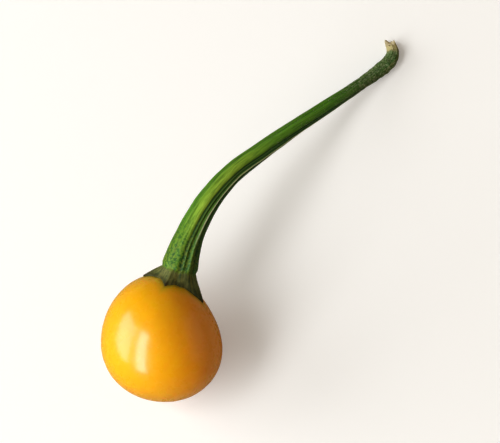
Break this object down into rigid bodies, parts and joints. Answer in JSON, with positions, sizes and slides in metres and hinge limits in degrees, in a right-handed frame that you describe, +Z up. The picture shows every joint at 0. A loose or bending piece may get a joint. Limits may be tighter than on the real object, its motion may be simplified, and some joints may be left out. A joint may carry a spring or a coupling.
{
  "type": "aji charapita pepper",
  "caption": "Small round yellow-orange chilli pod as picked, lying on its side, with its toothed green calyx and long, grooved, curved pedicel ending in a torn tip.",
  "frame": {"origin": "middle of the small flat spot that the pod rests on", "axes": "+Z up from the surface that the pepper lies on, +X from the pod towards the pedicel's torn tip"},
  "size_m": [0.0377, 0.0099, 0.0095],
  "materials": {
    "pod_skin": "thin waxy fruit skin, glossy, yellow-orange",
    "green_stalk": "fibrous green plant stalk, satin, with a dry tan torn tip"
  },
  "bodies": {
    "root": {"pod": "pod_skin", "calyx_and_pedicel": "green_stalk"}
  },
  "joints": []
}
